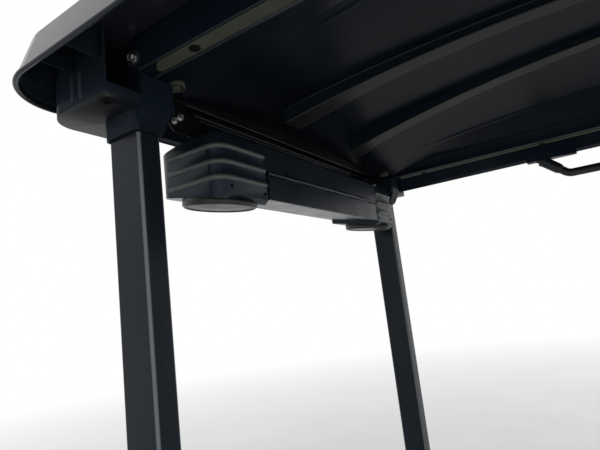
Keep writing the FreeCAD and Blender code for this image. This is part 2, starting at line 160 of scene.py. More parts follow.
# Bolts: radius and height of the head, radius of the washer
BEAM_BOLT = (0.0062, 0.0062, 0.0080)
HANGER_BOLT = (0.0042, 0.0040, 0.0062)
FLANGE_BOLT = (0.0050, 0.0045, 0.0075)

# Grab handles
HANDLE_Y = 0.559
HANDLE_X = 0.020
HANDLE_RADIUS = 0.011
HANDLE_LEG_RUN = 0.0815
HANDLE_LEG_DROP = 0.070
SLEEVE_ALONG = 0.1813
SLEEVE_TOP = 1.372
SLEEVE_LENGTH = 0.0560


def make_camera():
    """Camera with the perspective fitted to the photo's straight edges."""
    forward = Vector((
        math.cos(CAMERA_PITCH) * math.cos(CAMERA_YAW),
        math.cos(CAMERA_PITCH) * math.sin(CAMERA_YAW),
        math.sin(CAMERA_PITCH),
    ))
    level_right = Vector((math.sin(CAMERA_YAW), -math.cos(CAMERA_YAW), 0.0))
    level_down = forward.cross(level_right)
    right = math.cos(CAMERA_ROLL) * level_right + math.sin(CAMERA_ROLL) * level_down
    up = right.cross(forward)
    data = bpy.data.cameras.new("camera")
    data.sensor_width = SENSOR_WIDTH
    data.lens = FOCAL_PIXELS / PHOTO_WIDTH * SENSOR_WIDTH
    data.clip_start = 0.02
    camera = bpy.data.objects.new("camera", data)
    turn = Matrix((right, up, -forward)).transposed().to_4x4()
    camera.matrix_world = Matrix.Translation(CAMERA_AT) @ turn
    bpy.context.scene.collection.objects.link(camera)
    bpy.context.scene.camera = camera


# Materials
COOL_GLOSS = (0.80, 0.90, 1.0, 1.0)


class Graph:
    """Node tree of one material, with the few steps that its surfaces share."""

    def __init__(self, name, rough, specular, metallic=0.0):
        self.material = bpy.data.materials.new(name)
        self.material.use_nodes = True
        self.tree = self.material.node_tree
        self.shader = self.tree.nodes["Principled BSDF"]
        self.shader.inputs["Roughness"].default_value = rough
        self.shader.inputs["Specular IOR Level"].default_value = specular
        self.shader.inputs["Specular Tint"].default_value = COOL_GLOSS
        self.shader.inputs["Metallic"].default_value = metallic
        self.place = self.tree.nodes.new("ShaderNodeTexCoord").outputs["Object"]

    def add(self, kind, inputs=None, **settings):
        """New node; an input is either another node's socket or a plain value."""
        node = self.tree.nodes.new(kind)
        for key, value in settings.items():
            setattr(node, key, value)
        for key, value in (inputs or {}).items():
            if isinstance(value, bpy.types.NodeSocket):
                self.tree.links.new(value, node.inputs[key])
            else:
                node.inputs[key].default_value = value
        return node

    def noise(self, scale, detail, stretch=None, rough=0.55):
        place = self.place
        if stretch is not None:
            mapping = self.add("ShaderNodeMapping", {"Vector": place, "Scale": stretch})
            place = mapping.outputs["Vector"]
        values = {"Vector": place, "Scale": scale, "Detail": detail, "Roughness": rough}
        return self.add("ShaderNodeTexNoise", values).outputs["Fac"]

    def remap(self, value, low, high, to_low, to_high):
        """Stretches the range from low to high onto another, and stops at its ends."""
        values = {
            "Value": value,
            "From Min": low,
            "From Max": high,
            "To Min": to_low,
            "To Max": to_high,
        }
        return self.add("ShaderNodeMapRange", values).outputs["Result"]

    def blend(self, amount, first, second):
        """Mixes two colours, which are inputs 6 and 7 of the mix node."""
        values = {0: amount, 6: first, 7: second}
        return self.add("ShaderNodeMix", values, data_type="RGBA").outputs[2]

    def compute(self, operation, first, second=0.0):
        values = {0: first, 1: second}
        return self.add("ShaderNodeMath", values, operation=operation).outputs[0]

    def normal(self, kind="Normal"):
        """X, Y and Z of the surface's normal."""
        normal = self.add("ShaderNodeNewGeometry").outputs[kind]
        return self.add("ShaderNodeSeparateXYZ", {0: normal}).outputs

    def colour(self, value):
        self.tree.links.new(value, self.shader.inputs["Base Color"])

    def roughness(self, value):
        self.tree.links.new(value, self.shader.inputs["Roughness"])

    def bump(self, height, distance, strength, before=None):
        """Raises the surface by a height, on top of an earlier bump if there is one."""
        values = {"Height": height, "Distance": distance, "Strength": strength}
        if before is not None:
            values["Normal"] = before
        normal = self.add("ShaderNodeBump", values).outputs["Normal"]
        self.tree.links.new(normal, self.shader.inputs["Normal"])
        return normal


def rgb(red, green, blue):
    return (red, green, blue, 1.0)


def gloss_plastic(name, low, high, rough, specular, dust, peel=1.0, wall=None):
    """Moulded gloss plastic: faint orange peel, fine scratches from rubbing, dust on top faces.

    Upright faces take the wall colour, lighter and bluer: painted sky light on them."""
    graph = Graph(name, rough, specular)
    cloud = graph.noise(5.0, 5.0)
    base = graph.blend(graph.remap(cloud, 0.35, 0.65, 0.0, 1.0), low, high)
    if wall is not None:
        # Painted sky light: upright faces blend towards the lighter, bluer wall colour.
        height = graph.compute("ABSOLUTE", graph.normal()["Z"])
        base = graph.blend(graph.remap(height, 0.2, 0.7, 1.0, 0.0), base, wall)
    grit = graph.noise(900.0, 2.0)
    film = graph.noise(24.0, 7.0, rough=0.7)
    upward = graph.remap(graph.normal()["Z"], 0.55, 0.95, 0.0, 1.0)
    dusty = graph.compute("MULTIPLY", upward, graph.remap(film, 0.42, 0.68, 0.15, 1.0))
    specks = graph.compute("MULTIPLY", dusty, graph.remap(grit, 0.45, 0.62, 0.35, 1.0))
    settled = graph.compute("MULTIPLY", specks, dust)
    graph.colour(graph.blend(settled, base, rgb(0.16, 0.155, 0.145)))
    rubbing_and_edge_light = graph.compute("ADD", graph.noise(60.0, 4.0, (1.0, 14.0, 14.0)), cloud)
    wear_and_edge_light = graph.remap(rubbing_and_edge_light, 0.75, 1.25, rough - 0.035 * peel, rough + 0.06 * peel)
    graph.roughness(graph.compute("ADD", wear_and_edge_light, graph.compute("MULTIPLY", dusty, dust * 0.8)))
    flow = graph.bump(graph.noise(38.0, 2.0), 0.0012, 0.10 * peel)
    graph.bump(graph.noise(330.0, 2.0), 0.00018, 0.35 * peel, flow)
    return graph.material


def grained_plastic(name, low, high, rough, specular, grain, depth):
    """Satin moulded plastic with a fine leather-like grain and lighter patches worn by rubbing."""
    graph = Graph(name, rough, specular)
    cloud = graph.noise(9.0, 5.0, rough=0.6)
    graph.colour(graph.blend(graph.remap(cloud, 0.35, 0.68, 0.0, 1.0), low, high))
    patches = graph.noise(26.0, 5.0)
    graph.roughness(graph.remap(patches, 0.3, 0.7, rough - 0.05, rough + 0.07))
    values = {"Vector": graph.place, "Scale": grain}
    cells = graph.add("ShaderNodeTexVoronoi", values).outputs["Distance"]
    waves = graph.bump(graph.noise(30.0, 2.0), 0.0009, 0.12)
    graph.bump(cells, depth, 0.5, waves)
    return graph.material


def powder_coat(name, low, high, rough, specular, rubbing_and_edge_light):
    """Thick gloss powder coat on steel: orange peel, specks, and a painted highlight lightening its
    rounded edges.

    Those are the upright edges, where the surface faces along and across at once."""
    graph = Graph(name, rough, specular)
    cloud = graph.noise(7.0, 4.0, (1.0, 1.0, 0.35))
    specks = graph.remap(graph.noise(420.0, 1.0), 0.70, 0.76, 0.0, 1.0)
    base = graph.blend(graph.remap(cloud, 0.38, 0.66, 0.0, 1.0), low, high)
    base = graph.blend(graph.compute("MULTIPLY", specks, 0.5), base, rgb(0.05, 0.05, 0.048))
    # Painted highlight: upright rounded edges, whose normals point along and across at once, blend
    # towards a pale blue grey.
    facing = graph.normal("True Normal")
    slant = graph.compute("ABSOLUTE", graph.compute("MULTIPLY", facing["X"], facing["Y"]))
    wear_and_edge_light = graph.compute("MULTIPLY", graph.remap(slant, 0.10, 0.42, 0.0, 1.0), rubbing_and_edge_light)
    graph.colour(graph.blend(wear_and_edge_light, base, rgb(0.17, 0.18, 0.20)))
    streaks = graph.noise(18.0, 6.0, (1.0, 1.0, 0.25))
    graph.roughness(graph.remap(streaks, 0.3, 0.7, rough - 0.04, rough + 0.08))
    peel = graph.bump(graph.noise(150.0, 2.0), 0.00035, 0.30)
    graph.bump(graph.noise(620.0, 1.0), 0.00008, 0.30, peel)
    return graph.material


def rubber(name, low, high):
    """Dull rubber with a fine matt skin."""
    graph = Graph(name, 0.7, 0.06)
    cloud = graph.noise(30.0, 4.0)
    graph.colour(graph.blend(graph.remap(cloud, 0.35, 0.65, 0.0, 1.0), low, high))
    graph.bump(graph.noise(1400.0, 2.0), 0.00008, 0.5)
    return graph.material


def plated_steel(name, low, high, rough):
    """Zinc or bare steel: cloudy sheen, fine turning marks."""
    graph = Graph(name, rough, 0.5, 1.0)
    cloud = graph.noise(160.0, 4.0)
    graph.colour(graph.blend(graph.remap(cloud, 0.3, 0.7, 0.0, 1.0), low, high))
    marks = graph.noise(420.0, 3.0)
    graph.roughness(graph.remap(marks, 0.3, 0.7, rough - 0.08, rough + 0.14))
    graph.bump(graph.noise(1500.0, 2.0), 0.00006, 0.4)
    return graph.material


# Each surface drifts between a low and a high colour
MATERIALS = {
    "roof": gloss_plastic(
        "roof_gloss", rgb(0.0052, 0.0064, 0.0088), rgb(0.0092, 0.0104, 0.0130),
        rough=0.15, specular=0.25, dust=0.16,
    ),
    # The wall colours of lining, boss and edge are painted sky light on their upright faces.
    "lining": gloss_plastic(
        "lining_gloss", rgb(0.0022, 0.0035, 0.0054), rgb(0.0042, 0.0061, 0.0088),
        rough=0.25, specular=0.026, dust=0.10, peel=0.35, wall=rgb(0.0075, 0.0125, 0.0200),
    ),
    # The boss is a lighter, bluer copy of the lining: painted sky light on the corner mouldings.
    "boss": gloss_plastic(
        "boss_gloss", rgb(0.0056, 0.0070, 0.0090), rgb(0.0092, 0.0106, 0.0128),
        rough=0.24, specular=0.038, dust=0.15, peel=0.6, wall=rgb(0.0120, 0.0175, 0.0250),
    ),
    "console": grained_plastic(
        "console_satin", rgb(0.0052, 0.0082, 0.0140), rgb(0.0088, 0.0126, 0.0195),
        rough=0.32, specular=0.24, grain=1500.0, depth=0.00010,
    ),
    # Far lighter than the console: painted highlights on the console's ribs and the beam's lines.
    "rib": grained_plastic(
        "rib_painted_highlight", rgb(0.049, 0.054, 0.050), rgb(0.071, 0.078, 0.071),
        rough=0.42, specular=0.45, grain=1300.0, depth=0.00008,
    ),
    "pod": grained_plastic(
        "pod_satin", rgb(0.0195, 0.0215, 0.0180), rgb(0.0300, 0.0320, 0.0270),
        rough=0.40, specular=0.30, grain=1300.0, depth=0.00010,
    ),
    # Strut and frame lighten their upright rounded edges by the last amount: a painted highlight.
    "strut": powder_coat(
        "strut_coat", rgb(0.0046, 0.0062, 0.0086), rgb(0.0088, 0.0108, 0.0140),
        rough=0.15, specular=0.15, rubbing_and_edge_light=0.55,
    ),
    "frame": powder_coat(
        "frame_paint", rgb(0.0030, 0.0032, 0.0040), rgb(0.0070, 0.0072, 0.0082),
        rough=0.34, specular=0.10, rubbing_and_edge_light=0.20,
    ),
    "undercoat": grained_plastic(
        "rim_undercoat", rgb(0.0055, 0.0092, 0.0140), rgb(0.0098, 0.0150, 0.0215),
        rough=0.75, specular=0.04, grain=500.0, depth=0.00040,
    ),
    "grip": grained_plastic(
        "grip_coat", rgb(0.0085, 0.0092, 0.0105), rgb(0.0150, 0.0158, 0.0172),
        rough=0.36, specular=0.30, grain=900.0, depth=0.00012,
    ),
    # Lighter copy of the roof's plastic for beads, lips, flutes and bolt cups: painted highlights.
    "edge": gloss_plastic(
        "edge_painted_highlight", rgb(0.0110, 0.0125, 0.0150), rgb(0.0170, 0.0190, 0.0215),
        rough=0.28, specular=0.10, dust=0.15, peel=0.6, wall=rgb(0.030, 0.038, 0.048),
    ),
    # Lighter olive copy of the lining for the rib bottoms: a painted reflection of lit ground.
    "cap": gloss_plastic(
        "rib_cap_painted_reflection", rgb(0.0075, 0.0086, 0.0070), rgb(0.0115, 0.0130, 0.0108),
        rough=0.26, specular=0.045, dust=0.15, peel=0.4,
    ),
    # Light olive satin for the beam strips and drain plugs: a painted reflection of the ground.
    "strip": grained_plastic(
        "strip_painted_reflection", rgb(0.038, 0.042, 0.032), rgb(0.054, 0.058, 0.046),
        rough=0.50, specular=0.006, grain=1200.0, depth=0.00008,
    ),
    "rubber": rubber("black_rubber", rgb(0.0025, 0.0025, 0.0025), rgb(0.0070, 0.0070, 0.0068)),
    "zinc": plated_steel("zinc_plate", rgb(0.52, 0.52, 0.50), rgb(0.74, 0.73, 0.68), rough=0.30),
    "steel": plated_steel("pin_steel", rgb(0.36, 0.36, 0.37), rgb(0.50, 0.50, 0.51), rough=0.28),
}


# Pieces

def place_piece(name, mesh, material, bevel=0.0):
    """Puts a finished bmesh into the scene as one piece that rides on the canopy."""
    bmesh.ops.recalc_face_normals(mesh, faces=mesh.faces)
    data = bpy.data.meshes.new(name)
    mesh.to_mesh(data)
    mesh.free()
    data.materials.append(MATERIALS[material])
    for face in data.polygons:
        face.use_smooth = True
    piece = bpy.data.objects.new(name, data)
    bpy.context.scene.collection.objects.link(piece)
    if bevel > 0.0:
        round_edges(piece, bevel)
    else:
        data.set_sharp_from_angle(angle=math.radians(38.0))
    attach(piece, "canopy")


def round_edges(piece, width):
    """Rounds the sharp edges and keeps the flat faces flat."""
    bevel = piece.modifiers.new("round edges", "BEVEL")
    bevel.width = width
    bevel.segments = 2
    bevel.limit_method = "ANGLE"
    bevel.angle_limit = math.radians(32.0)
    bevel.harden_normals = True


def skin(mesh, rows, closed=False):
    """Joins rings of vertices into a surface, closed end to start or capped at both ends."""
    for row, following in zip(rows, rows[1:] + rows[:1] if closed else rows[1:]):
        for place in range(len(row)):
            beyond = (place + 1) % len(row)
            mesh.faces.new((row[place], row[beyond], following[beyond], following[place]))
    if not closed:
        mesh.faces.new(rows[0])
        mesh.faces.new(rows[-1])


def lathe(mesh, profile, at, axis, segments=40):
    """Turns (radius, height) points round an axis; the first and last may lie on it."""
    turn = Vector((0, 0, 1)).rotation_difference(Vector(axis)).to_matrix()
    rings = []
    for radius, height in profile:
        ring = []
        for index in range(segments if radius > 0.0 else 1):
            angle = 2 * math.pi * index / segments
            local = Vector((radius * math.cos(angle), radius * math.sin(angle), height))
            ring.append(mesh.verts.new(turn @ local + Vector(at)))
        rings.append(ring)
    for low, high in zip(rings, rings[1:]):
        for index in range(segments):
            following = (index + 1) % segments
            corners = [
                low[index % len(low)],
                low[following % len(low)],
                high[following % len(high)],
                high[index % len(high)],
            ]
            unique = list(dict.fromkeys(corners))
            if len(unique) > 2:
                mesh.faces.new(unique)


def ring_profile(inner, outer, height, soft):
    """Closed section of a flat ring with softened edges."""
    return [
        (inner, 0.0),
        (inner, height - soft),
        (inner + soft, height),
        (outer - soft, height),
        (outer, height - soft),
        (outer, 0.0),
        (inner, 0.0),
    ]


def round_section(radius, count=12, squash=1.0):
    """Round section as (outward, upward) points."""
    angles = [2 * math.pi * index / count for index in range(count)]
    return [(radius * math.cos(angle), radius * squash * math.sin(angle)) for angle in angles]


def loop_path(centre_x, centre_y, half_x, half_y, radius, z, steps=10):
    """Level path round a rounded rectangle with its outward directions."""
    path = []
    corners = ((1, 1, 0.0), (-1, 1, 90.0), (-1, -1, 180.0), (1, -1, 270.0))
    for sx, sy, start in corners:
        x = centre_x + sx * (half_x - radius)
        y = centre_y + sy * (half_y - radius)
        for step in range(steps + 1):
            angle = math.radians(start + 90.0 * step / steps)
            outward = Vector((math.cos(angle), math.sin(angle), 0.0))
            path.append((Vector((x, y, z)) + outward * radius, outward))
    return path


def sweep_round(mesh, path, section):
    """Carries a section of (outward, upward) points along a closed path of (point, outward)."""
    rows = []
    for point, outward in path:
        corners = [point + outward * out + Vector((0, 0, up)) for out, up in section]
        rows.append([mesh.verts.new(corner) for corner in corners])
    skin(mesh, rows, closed=True)


def run_along(mesh, start, end, section_at, steps=40):
    """Carries a section lengthwise; section_at gives its (y, z) corners at each x."""
    rows = []
    for step in range(steps + 1):
        x = start + (end - start) * step / steps
        rows.append([mesh.verts.new((x, y, z)) for y, z in section_at(x)])
    skin(mesh, rows)


def slab(mesh, corners, thickness):
    """Flat plate between a polygon and its copy moved by the thickness vector."""
    low = [mesh.verts.new(Vector(corner)) for corner in corners]
    high = [mesh.verts.new(Vector(corner) + Vector(thickness)) for corner in corners]
    skin(mesh, [low, high])


def rounded_polygon(corners, radius, steps=6):
    """Corners of a flat convex polygon, each replaced by an arc."""
    outline = []
    for index, corner in enumerate(corners):
        corner = Vector(corner)
        before = (Vector(corners[index - 1]) - corner).normalized()
        after = (Vector(corners[(index + 1) % len(corners)]) - corner).normalized()
        half_angle = before.angle(after) / 2
        centre = corner + (before + after).normalized() * radius / math.sin(half_angle)
        reach = radius / math.tan(half_angle)
        start = corner + before * reach - centre
        end = corner + after * reach - centre
        for step in range(steps + 1):
            outline.append(centre + start.slerp(end, step / steps) * radius)
    return outline


def tube(mesh, points, radii, segments=14):
    """Round bar through level points, with a radius at each of them."""
    rings = []
    for index, point in enumerate(points):
        behind, ahead = points[max(index - 1, 0)], points[min(index + 1, len(points) - 1)]
        across = Vector((0, 0, 1)).cross((ahead - behind).normalized())
        ring = []
        for step in range(segments):
            angle = 2 * math.pi * step / segments
            spoke = across * math.cos(angle) + Vector((0, 0, 1)) * math.sin(angle)
            ring.append(mesh.verts.new(point + spoke * radii[index]))
        rings.append(ring)
    skin(mesh, rings)


def hex_bolt(mesh, at, axis, head_radius, head_height, washer_radius):
    """Hexagon head on a washer, with the chamfered crown of a real bolt."""
    axis = Vector(axis)
    washer_height = head_height * 0.28
    washer = ring_profile(head_radius * 0.45, washer_radius, washer_height, washer_height * 0.3)
    lathe(mesh, washer, at, axis)
    turn = Vector((0, 0, 1)).rotation_difference(axis).to_matrix()
    seat = Vector(at) + axis * washer_height
    rings = []
    for share, height in ((1.0, 0.0), (1.0, 0.80), (0.86, 1.0), (0.55, 1.0), (0.50, 0.90)):
        ring = []
        for index in range(6):
            angle = math.radians(60.0 * index + 12.0)
            spoke = Vector((math.cos(angle), math.sin(angle), 0.0)) * head_radius * share
            ring.append(mesh.verts.new(turn @ spoke + seat + axis * head_height * height))
        rings.append(ring)
    skin(mesh, rings)


# CAD nodes: their finish and the width of their rounded edges
NODE_FINISH = {
    "roof_shell": ("roof", 0.0),
    "roof_lining": ("lining", 0.0),
    "cross_beam": ("frame", 0.0008),
    "strut": ("strut", 0.0),
    "foot": ("strut", 0.0012),
    "corner_boss": ("boss", 0.0025),
    "handle_mount": ("lining", 0.0012),
    "console_end": ("console", 0.0012),
    "console_body": ("console", 0.0),
    "console_door": ("console", 0.0),
    "console_hanger": ("frame", 0.0010),
    "speaker_pod": ("pod", 0.0012),
    "grab_handle": ("grip", 0.0),
    "console_hinge_pin": ("steel", 0.0),
}


def join_faces_group():
    """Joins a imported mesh's faces and clears its stored normals, so that edges can be rounded."""
    group = bpy.data.node_groups.new("join faces", "GeometryNodeTree")
    for direction in ("INPUT", "OUTPUT"):
        group.interface.new_socket(
            "Geometry", in_out=direction, socket_type="NodeSocketGeometry")
    start = group.nodes.new("NodeGroupInput")
    merge = group.nodes.new("GeometryNodeMergeByDistance")
    merge.inputs["Distance"].default_value = 0.000002
    smooth = group.nodes.new("GeometryNodeSetShadeSmooth")
    end = group.nodes.new("NodeGroupOutput")
    group.links.new(start.outputs[0], merge.inputs["Geometry"])
    group.links.new(merge.outputs["Geometry"], smooth.inputs["Geometry"])
    group.links.new(smooth.outputs["Geometry"], end.inputs[0])
    return group


def finish_cad_nodes():
    """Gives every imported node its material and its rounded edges."""
    group = join_faces_group()
    for name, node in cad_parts.items():
        material, width = next(finish for part, finish in NODE_FINISH.items() if part in name)
        for place in node.material_slots:
            place.material = MATERIALS[material]
        if width > 0.0:
            node.modifiers.new("join faces", "NODES").node_group = group
            flat = node.modifiers.new("merge flat faces", "DECIMATE")
            flat.decimate_type = "DISSOLVE"
            flat.angle_limit = math.radians(0.3)
            round_edges(node, width)


# Roof and ceiling

def rim_ring(name, material, section, inset, z, corner=None):
    """One ring round the roof, inset from its outline."""
    mesh = bmesh.new()
    radius = CORNER_RADIUS - inset if corner is None else corner
    path = loop_path(0, 0, HALF_LENGTH - inset, HALF_WIDTH - inset, radius, z, RIM_STEPS)
    sweep_round(mesh, path, section)
    place_piece(name, mesh, material)


def rim_details():
    """Beads round the lip, the rim's top edge and the crown, and undercoat inside the rim."""
    rim_ring("lip_bead", "roof", round_section(LIP_BEAD), 0.0015, LIP_Z + 0.0012)
    top_inset = (SHELF_TOP - LIP_Z) * RIM_SLOPE + 0.0032
    top_section = round_section(TOP_EDGE_BEAD, 16)
    rim_ring("rim_top_edge", "roof", top_section, top_inset, SHELF_TOP - 0.0036)
    rain_section = round_section(RAIN_BEAD, 12, 0.6)
    rim_ring("rain_bead", "roof", rain_section, RAIN_BEAD_INSET, SHELF_TOP, RAIN_BEAD_CORNER)

    high = SHELF_BOTTOM - LIP_Z - 0.0004
    corners = (
        (UNDERCOAT_LOW, 0.0),
        (high, 0.0),
        (high, UNDERCOAT_DEPTH),
        (UNDERCOAT_LOW + 0.0008, UNDERCOAT_DEPTH),
    )
    section = [(-height * RIM_SLOPE - depth, height) for height, depth in corners]
    rim_ring("rim_undercoat", "undercoat", section, ROOF_SKIN + 0.0002, LIP_Z)


def ceiling_z(x, y):
    """Height of the lining's crowned ceiling."""
    return CEILING_TOP - x * x / (2 * CROWN_LENGTH_RADIUS) - y * y / (2 * CROWN_WIDTH_RADIUS)


def rib_z(x, y):
    """Height of a rib's bottom."""
    fall = x * x / (2 * RIB_LENGTH_RADIUS) + y * y / (2 * CROWN_WIDTH_RADIUS)
    return CEILING_TOP - RIB_DEPTH - fall


def rib_inner(x):
    """Distance from the middle to a rib's inner edge; the ribs spread to the rear."""
    return RIB_INNER_Y - RIB_INNER_SPLAY * x


def rib_outer(x):
    """Distance from the middle to a rib's outer edge."""
    return RIB_OUTER_Y - RIB_OUTER_SPLAY * x


def bead(side, y, z, across, high):
    """Section of a low bead, as (y, z) corners."""
    return [(side * (y + out), z + up) for out, up in round_section(across, 10, high / across)]


def ceiling_ribs(side_name, side):
    """Smooth cap along a ceiling rib, lighter and olive: a painted reflection of lit ground; and
    bead lines where its walls start and end, lighter as painted highlights.
    """
    start = STRUT_TOP_X["rear"] + CROSS_BEAM_WIDTH / 2 + RIB_END_GAP
    end = STRUT_TOP_X["front"] - CROSS_BEAM_WIDTH / 2 - RIB_END_GAP

    def cap_at(x):
        inner, outer = rib_inner(x) - CAP_OVERHANG, rib_outer(x) + CAP_OVERHANG
        top = 0.0030
        corners = ((outer, top), (outer, -CAP_THICKNESS), (inner, -CAP_THICKNESS), (inner, top))
        return [(side * y, rib_z(x, y) + up) for y, up in corners]

    mesh = bmesh.new()
    run_along(mesh, start, end, cap_at)
    place_piece(f"rib_cap_{side_name}", mesh, "cap", bevel=0.0009)

    mesh = bmesh.new()
    for y_at, z_at, shift, drop, across, high in (
        (rib_outer, ceiling_z, 0.0004, 0.0002, 0.0020, 0.0014),
        (rib_outer, rib_z, -0.0010, 0.0012, 0.0019, 0.0015),
        (rib_inner, rib_z, 0.0010, 0.0012, 0.0015, 0.0012),
    ):
        run_along(mesh, start, end, lambda x: bead(
            side, y_at(x) + shift, z_at(x, y_at(x)) - drop, across, high))
    place_piece(f"rib_lines_{side_name}", mesh, "edge")


def ceiling_lines(side_name, side):
    """Crease along the crown, stepped on its inboard side, and lines on the beam's inner face,
    lighter: painted highlights.
    """
    step = (
        (-0.0030, 0.0012),
        (-0.0028, -0.0014),
        (-0.0014, -0.0019),
        (0.0010, -0.0018),
        (0.0150, 0.0012),
    )

    def crease_at(x):
        from_end = min(x - CREASE_ENDS[0], CREASE_ENDS[1] - x)
        sunk = 0.0024 * max(0.0, 1.0 - from_end / CREASE_FADE)
        places = [(CREASE_Y + out, up) for out, up in step]
        return [(side * y, ceiling_z(x, y) + up + sunk) for y, up in places]

    mesh = bmesh.new()
    run_along(mesh, *CREASE_ENDS, crease_at)
    place_piece(f"crown_crease_{side_name}", mesh, "lining")

    # These bead lines are in a far lighter plastic: painted highlights.
    mesh = bmesh.new()
    for level in BEAM_LINE_LEVELS:
        section = bead(side, BEAM_INBOARD, level, 0.0012, 0.0018)
        run_along(mesh, *BEAM_LINE_ENDS, lambda x: section, steps=2)
    place_piece(f"beam_lines_{side_name}", mesh, "rib")


# Side beams

def beam_strip(side_name, side):
    """Satin strip under a side beam, with a slanted rear end; its light olive colour is a painted
    reflection of the ground.
    """
    outer_y = side * (BEAM_OUTBOARD - STRIP_MARGIN)
    inner_y = side * (BEAM_INBOARD + STRIP_MARGIN)
    corners = [
        (STRIP_FRONT, outer_y, BEAM_BOTTOM),
        (STRIP_FRONT, inner_y, BEAM_BOTTOM),
        (STRIP_REAR_INNER, inner_y, BEAM_BOTTOM),
        (STRIP_REAR_OUTER, outer_y, BEAM_BOTTOM),
    ]
    mesh = bmesh.new()
    slab(mesh, rounded_polygon(corners, 0.0060), (0, 0, -0.0012))
    place_piece(f"beam_strip_{side_name}", mesh, "strip", bevel=0.0005)


def beam_edges(side_name, side):
    """Rolled lips along both lower edges of a side beam, in lighter plastic: painted highlights on
    the edges.
    """
    start = STRUT_TOP_X["rear"] + BOSS_INNER_REACH
    end = STRUT_TOP_X["front"] - BOSS_INNER_REACH
    inner_lip = (
        (0.0004, 0.0004),
        (0.0004, 0.0042),
        (-0.0054, 0.0042),
        (-0.0068, 0.0032),
        (-0.0071, 0.0018),
        (-0.0064, 0.0006),
        (-0.0052, 0.0003),
    )
    outer_lip = (
        (-0.0016, 0.0),
        (0.0, -0.0002),
        (0.0006, 0.0004),
        (0.0008, 0.0014),
        (0.0, 0.0028),
        (-0.0016, 0.0028),
    )
    mesh = bmesh.new()
    for y, lip in ((BEAM_INBOARD, inner_lip), (BEAM_OUTBOARD, outer_lip)):
        corners = [(start, side * (y + out), BEAM_BOTTOM + up) for out, up in lip]
        slab(mesh, corners, (end - start, 0, 0))
    place_piece(f"beam_edges_{side_name}", mesh, "edge")


def strip_seats(side_name, side):
    """Sunk screw seats along the strip."""
    profile = (
        (0.0, 0.0003),
        (0.0040, 0.0003),
        (0.0046, 0.0012),
        (0.0070, 0.0016),
        (0.0076, 0.0008),
        (0.0078, -0.0004),
    )
    middle_y = side * (BEAM_OUTBOARD - BEAM_WIDTH / 2)
    mesh = bmesh.new()
    for x in STRIP_SEATS_X:
        lathe(mesh, profile, (x, middle_y, BEAM_BOTTOM - 0.0011), (0, 0, -1), 28)
    place_piece(f"strip_seats_{side_name}", mesh, "rubber")


def beam_joints(side_name, side):
    """Upright joints in the beam's outboard face."""
    profile = ((0.0, 0.0), (0.0012, 0.0008), (0.0014, 0.003), (0.0014, 0.036), (0.0, 0.0385))
    mesh = bmesh.new()
    for x in BEAM_JOINTS_X:
        lathe(mesh, profile, (x, side * BEAM_OUTBOARD, BEAM_BOTTOM + 0.001), (0, 0, 1), 12)
    place_piece(f"beam_joints_{side_name}", mesh, "lining")


# Corner bosses

def boss_flutes(end_name, end, side_name, side):
    """Two upright flutes on the boss's outboard wall, in lighter plastic: painted highlights."""
    profile = (
        (0.0, 0.0),
        (0.0024, 0.0012),
        (0.0030, 0.004),
        (0.0030, 0.030),
        (0.0024, 0.038),
        (0.0, 0.043),
    )
    mesh = bmesh.new()
    for along in BOSS_FLUTES:
        foot = (STRUT_TOP_X[end_name] + end * along, side * BOSS_OUTBOARD, BOSS_BOTTOM + 0.004)
        lathe(mesh, profile, foot, (0, 0, 1), 24)
    place_piece(f"boss_flutes_{end_name}_{side_name}", mesh, "edge")


def boss_front(end_name, end, side_name, side):
    """Wall that closes the boss under the beam."""
    x = STRUT_TOP_X[end_name] - end * (BOSS_INNER_REACH - 0.0008)
    inner_y, outer_y = side * BOSS_INBOARD, side * (BEAM_OUTBOARD - 0.0010)
    low, high = BOSS_BOTTOM + BOSS_LIP, BEAM_BOTTOM - 0.0004
    corners = [(x, inner_y, low), (x, outer_y, low), (x, outer_y, high), (x, inner_y, high)]
    mesh = bmesh.new()
    slab(mesh, corners, (end * 0.0026, 0, 0))
    place_piece(f"boss_front_{end_name}_{side_name}", mesh, "lining", bevel=0.0005)


def collar_shroud(end_name, end, side_name, side):
    """Flared front of the collar, from the strut up to the beam."""
    collar_x = strut_x(end_name, COLLAR_BOTTOM) - end * COLLAR_FRONT
    boss_x = STRUT_TOP_X[end_name] - end * (BOSS_INNER_REACH + 0.0014)
    rows = []
    mesh = bmesh.new()
    for z, face_x, half_width in (
        (COLLAR_BOTTOM + 0.0012, collar_x, 0.0210),
        (BOSS_BOTTOM, boss_x, 0.0250),
        (BEAM_BOTTOM - 0.0008, boss_x, 0.0250),
    ):
        back_x = strut_x(end_name, z) - end * SHROUD_BACK
        near_y, far_y = side * STRUT_Y - half_width, side * STRUT_Y + half_width
        corners = ((back_x, near_y), (face_x, near_y), (face_x, far_y), (back_x, far_y))
        rows.append([mesh.verts.new((x, y, z)) for x, y in corners])
    skin(mesh, rows)
    name = f"collar_shroud_{end_name}_{side_name}"
    place_piece(name, mesh, "lining", bevel=0.0030)


def rim_inside(z):
    """Distance from the middle to the inner face of the leaning rim."""
    return HALF_WIDTH - ROOF_SKIN - (z - LIP_Z) * RIM_SLOPE


